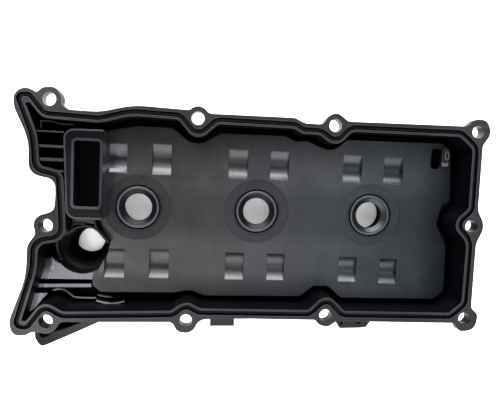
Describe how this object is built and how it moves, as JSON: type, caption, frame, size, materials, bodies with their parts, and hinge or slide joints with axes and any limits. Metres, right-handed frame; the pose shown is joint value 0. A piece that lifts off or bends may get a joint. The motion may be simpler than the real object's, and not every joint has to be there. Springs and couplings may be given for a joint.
{
  "type": "engine valve cover",
  "caption": "Moulded black valve cover for one bank of a V engine, with welded baffle, gasket groove, spark plug tube seals, bolt sleeves and oil filler neck.",
  "frame": {"origin": "axis of the middle spark plug well where it crosses the gasket mating plane", "axes": "+X along the row of plug wells away from the oil filler, +Y across the cover away from the gusset bracket, +Z out of the open side, normal to the mating plane"},
  "size_m": [0.4195, 0.231, 0.06],
  "materials": {
    "shell_nylon": "satin glass-filled black nylon",
    "baffle_nylon": "satin black nylon, slightly greyer than the shell",
    "black_rubber": "satin moulded rubber",
    "plated_steel": "dull zinc-plated steel",
    "brass": "knurled brass"
  },
  "bodies": {
    "root": {"cover_shell": "shell_nylon", "baffle_plate": "baffle_nylon", "perimeter_gasket": "black_rubber", "plug_seal_1": "black_rubber", "plug_seal_2": "black_rubber", "plug_seal_3": "black_rubber", "seal_case_1": "plated_steel", "seal_case_2": "plated_steel", "seal_case_3": "plated_steel", "seal_spring_1": "plated_steel", "seal_spring_2": "plated_steel", "seal_spring_3": "plated_steel", "bolt_sleeve_01": "plated_steel", "bolt_sleeve_02": "plated_steel", "bolt_sleeve_03": "plated_steel", "bolt_sleeve_04": "plated_steel", "bolt_sleeve_05": "plated_steel", "bolt_sleeve_06": "plated_steel", "bolt_sleeve_07": "plated_steel", "bolt_sleeve_08": "plated_steel", "bolt_sleeve_09": "plated_steel", "bolt_sleeve_10": "plated_steel", "coil_insert_1": "brass", "coil_insert_2": "brass", "coil_insert_3": "brass"}
  },
  "joints": []
}
